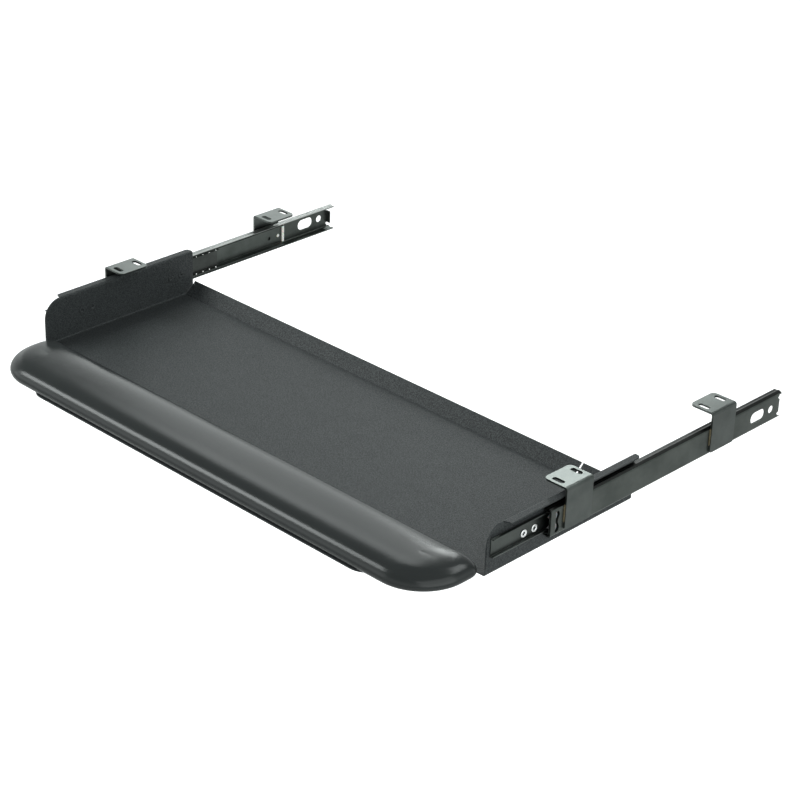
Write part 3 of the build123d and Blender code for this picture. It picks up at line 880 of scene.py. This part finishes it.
def bead(corner, sign, top, bottom, size):
    """A rippled quarter-round bead down a corner, as rings of a fan from the corner's edge.

    The radius is the size, less a share of it that comes and goes with the absolute sine of
    a phase.  The phase grows along the bead and runs ahead at its middle, which bows the
    crests, and the radius falls off over each end.
    """
    along = np.linspace(0.0, 1.0, bead_rings)[:, None]
    angle = np.linspace(0.0, np.pi / 2, bead_arc_points)[None, :]
    phase = ripples * np.pi * (along + ripple_bow * np.sin(2.0 * angle))
    ends = np.sqrt(np.clip(1.0 - (2.0 * along - 1.0) ** 10, 0.02, 1.0))
    radius = size * ends * (1.0 - ripple_share + ripple_share * np.abs(np.sin(phase)))
    x = corner[0] + sign * radius * np.sin(angle)
    y = corner[1] - radius * np.cos(angle)
    z = top + (bottom - top) * along + 0 * angle
    arc = np.stack((x, y, z), axis=-1)
    spine_x, spine_y = corner[0] + 0 * along, corner[1] + 0 * along
    spine = np.stack((spine_x, spine_y, top + (bottom - top) * along), axis=-1)
    return np.concatenate((spine, arc), axis=1)


for side, sign in (("right", 1.0), ("left", -1.0)):
    low, high = (np.array(corner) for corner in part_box(f"bracket_welds_{side}"))
    face_x = low[0] if sign > 0 else high[0]
    size = high[0] - low[0]
    beads = [bead((face_x, y), sign, high[2], low[2], size) for y in (low[1] + size, high[1])]
    bead_faces = closed_ends(bead_rings, bead_arc_points + 1)
    both = np.concatenate([one.reshape(-1, 3) for one in beads])
    numbers = bead_faces + [[corner + len(both) // 2 for corner in face] for face in bead_faces]
    welds = make_piece(f"rippled_welds_{side}", both, numbers, weld, "root", "weld_bead")
    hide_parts(f"bracket_welds_{side}")
print("weld beads", round(size / MM, 2), "mm")

# %% [markdown]
# ## Floor, world and lamps
#
# The studio is a white sweep under a darker ceiling, so the sheet metal reflects white from
# below and dusk from above.  The palm rest runs along X, so a panel parallel to it shows in
# it as one even band: the nose strip in front draws the bright line along its nose, and the
# back, middle and brow panels behind it light the slope above, one band each.  The end panel
# is aimed at its right end and the glare panel at the right front bracket's plate, and two
# broad panels, in front and to the right, fill the walls and slides.  The backdrop is white
# because rays from the camera find white there, not because more light falls on the tray.

# %% Floor
floor_mesh = bpy.data.meshes.new("studio_floor")
reach = 8.0
floor_height = -0.72
floor_corners = [(-reach, -reach), (reach, -reach), (reach, reach), (-reach, reach)]
floor_mesh.from_pydata([(x, y, floor_height) for x, y in floor_corners], [], [(0, 1, 2, 3)])
floor = bpy.data.objects.new("studio_floor", floor_mesh)
bpy.context.scene.collection.objects.link(floor)
white = colour(1.0, 1.0, 1.0)
cool_white = colour(0.95, 1.0, 0.99)
floor_paint = Finish(
    "studio_floor", Roughness=0.9, Base_Color=colour(0.80, 0.80, 0.80), Emission_Color=white
)
rays = floor_paint.node("ShaderNodeLightPath", output="Is Camera Ray")
mirrored = floor_paint.node("ShaderNodeLightPath", output="Is Glossy Ray")
through = floor_paint.node("ShaderNodeLightPath", output="Is Transmission Ray")
floor_paint.feed("Emission Strength", rays * 0.6 + (mirrored + through) * 0.10)
floor_mesh.materials.append(floor_paint.material)

# %% World
# Mirrored rays find a ceiling that darkens with height, the camera finds plain white, and
# all others find one even level.
even_level = 0.48
ceiling_level = 0.22
ceiling_from, ceiling_to = 0.22, 0.56
world = bpy.data.worlds.new("studio")
bpy.context.scene.world = world
world.use_nodes = True
tree = world.node_tree
background = tree.nodes["Background"]
ray = tree.nodes.new("ShaderNodeLightPath")
direction = tree.nodes.new("ShaderNodeTexCoord")
parts = tree.nodes.new("ShaderNodeSeparateXYZ")
tree.links.new(direction.outputs["Generated"], parts.inputs["Vector"])
ceiling = tree.nodes.new("ShaderNodeMapRange")
ceiling.inputs["From Min"].default_value = ceiling_from
ceiling.inputs["From Max"].default_value = ceiling_to
ceiling.inputs["To Min"].default_value = 1.0
ceiling.inputs["To Max"].default_value = ceiling_level
tree.links.new(parts.outputs["Z"], ceiling.inputs["Value"])
mirror_level = tree.nodes.new("ShaderNodeMix")
mirror_level.inputs[2].default_value = even_level
tree.links.new(ray.outputs["Is Glossy Ray"], mirror_level.inputs["Factor"])
tree.links.new(ceiling.outputs["Result"], mirror_level.inputs[3])
seen_level = tree.nodes.new("ShaderNodeMix")
seen_level.inputs[3].default_value = 1.0
tree.links.new(ray.outputs["Is Camera Ray"], seen_level.inputs["Factor"])
tree.links.new(mirror_level.outputs[0], seen_level.inputs[2])
tree.links.new(seen_level.outputs[0], background.inputs["Strength"])
light_tint = tree.nodes.new("ShaderNodeMix")
light_tint.data_type = "RGBA"
light_tint.inputs[6].default_value = cool_white
light_tint.inputs[7].default_value = white
tree.links.new(ray.outputs["Is Camera Ray"], light_tint.inputs["Factor"])
tree.links.new(light_tint.outputs[2], background.inputs["Color"])


# %% Lamps
def panel(name, place, target, width, height, power):
    """A soft area light that faces a target."""
    data = bpy.data.lights.new(name, "AREA")
    data.shape = "RECTANGLE"
    data.size = width
    data.size_y = height
    data.energy = power
    data.color = cool_white[:3]
    lamp = bpy.data.objects.new(name, data)
    lamp.location = place
    lamp.rotation_euler = (Vector(target) - Vector(place)).to_track_quat("-Z", "Y").to_euler()
    bpy.context.scene.collection.objects.link(lamp)


panel("back_panel", (-1.65, 1.45, 0.85), (-1.65, -0.25, 0.0), 1.9, 0.58, 6.0)
panel("middle_panel", (-1.34, 1.18, 1.25), (-1.34, -0.25, 0.0), 1.1, 0.38, 1.9)
panel("brow_strip", (-1.36, 0.92, 1.49), (-1.36, -0.25, 0.0), 1.2, 0.32, 4.2)
panel("nose_strip", (-1.62, -1.14, 1.42), (-1.62, -0.28, 0.0), 1.4, 0.74, 34.0)
panel("glare_panel", (-0.79, 1.27, 0.97), (0.30, -0.10, 0.0), 0.30, 0.22, 2.9)
panel("end_panel", (0.64, 1.00, 1.50), (0.30, -0.25, 0.0), 0.8, 0.45, 6.0)
panel("front_panel", (-1.35, -1.45, 0.55), (0.0, -0.28, 0.0), 1.8, 1.1, 6.0)
panel("side_fill", (1.90, -0.50, 0.90), (-0.30, -0.10, 0.0), 2.6, 2.2, 32.0)

# %% [markdown]
# ## Colour
#
# The plain Standard view shows each colour as it is written.

# %% Colour
bpy.context.scene.view_settings.view_transform = "Standard"
